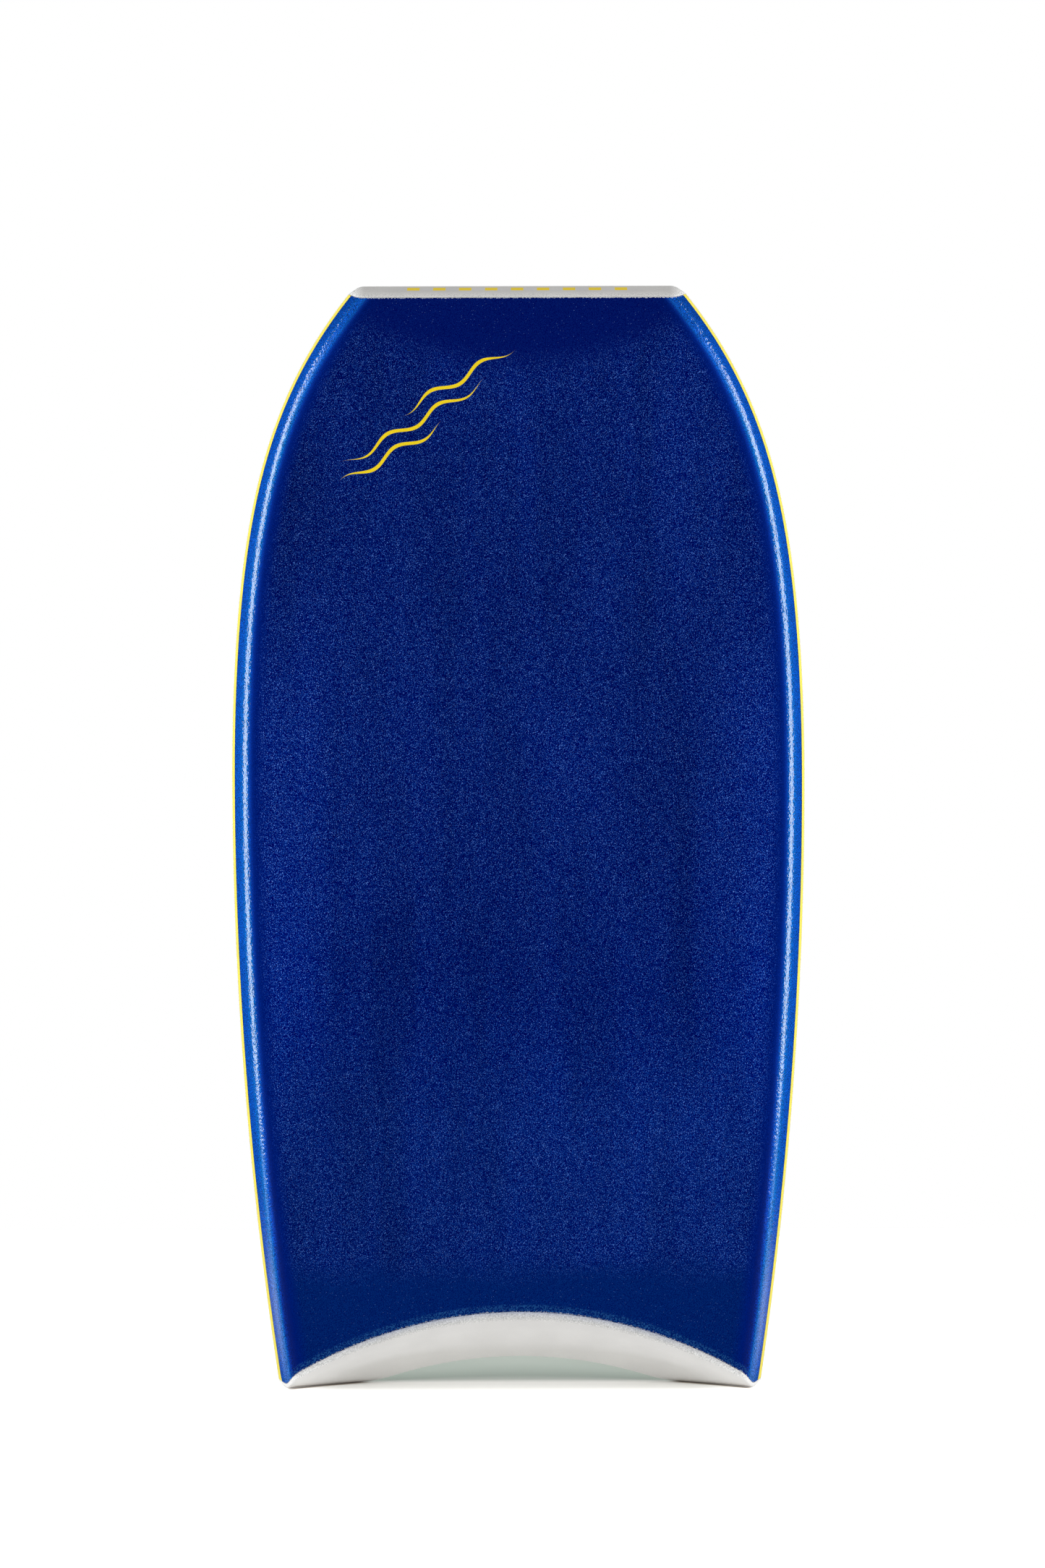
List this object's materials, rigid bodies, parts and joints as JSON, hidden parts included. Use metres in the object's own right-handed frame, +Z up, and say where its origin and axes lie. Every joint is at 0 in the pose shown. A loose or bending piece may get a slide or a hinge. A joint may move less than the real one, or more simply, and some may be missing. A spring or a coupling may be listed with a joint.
{
  "type": "bodyboard",
  "caption": "Foam bodyboard with a textured deck that wraps over bevelled rails, a rounded nose bumper, a slanted crescent tail and a hard slick bottom.",
  "frame": {"origin": "under the middle of the standing board, level with the two flat feet of its tail", "axes": "+Z up the board's length from tail to nose, +Y through it from the deck to the slick, +X across it to the right as seen from the deck side"},
  "size_m": [0.5568, 0.0821, 1.067],
  "materials": {
    "core_foam": "closed-cell bead foam",
    "stringer_composite": "pultruded fibre tube",
    "stringer_plug": "moulded plastic",
    "inner_rail_foam": "closed-cell foam strip",
    "rail_foam": "skinned closed-cell foam",
    "pinline_foam": "closed-cell foam strip",
    "flex_mesh": "woven plastic net",
    "backing_foam": "closed-cell foam sheet",
    "slick_plastic": "smooth glossy sheet",
    "deck_foam": "pebbled skin on closed-cell foam",
    "bumper_foam": "skinned closed-cell foam"
  },
  "bodies": {
    "root": {"core": "core_foam", "stringer_tube": "stringer_composite", "stringer_nose_plug": "stringer_plug", "stringer_tail_plug": "stringer_plug", "inner_rail_left": "inner_rail_foam", "inner_rail_right": "inner_rail_foam", "rail_left": "rail_foam", "rail_right": "rail_foam", "pinline_left": "pinline_foam", "pinline_right": "pinline_foam", "slick_mesh": "flex_mesh", "slick_backing": "backing_foam", "slick": "slick_plastic", "deck_skin": "deck_foam", "nose_bumper": "bumper_foam", "tail_bumper": "bumper_foam"}
  },
  "joints": []
}
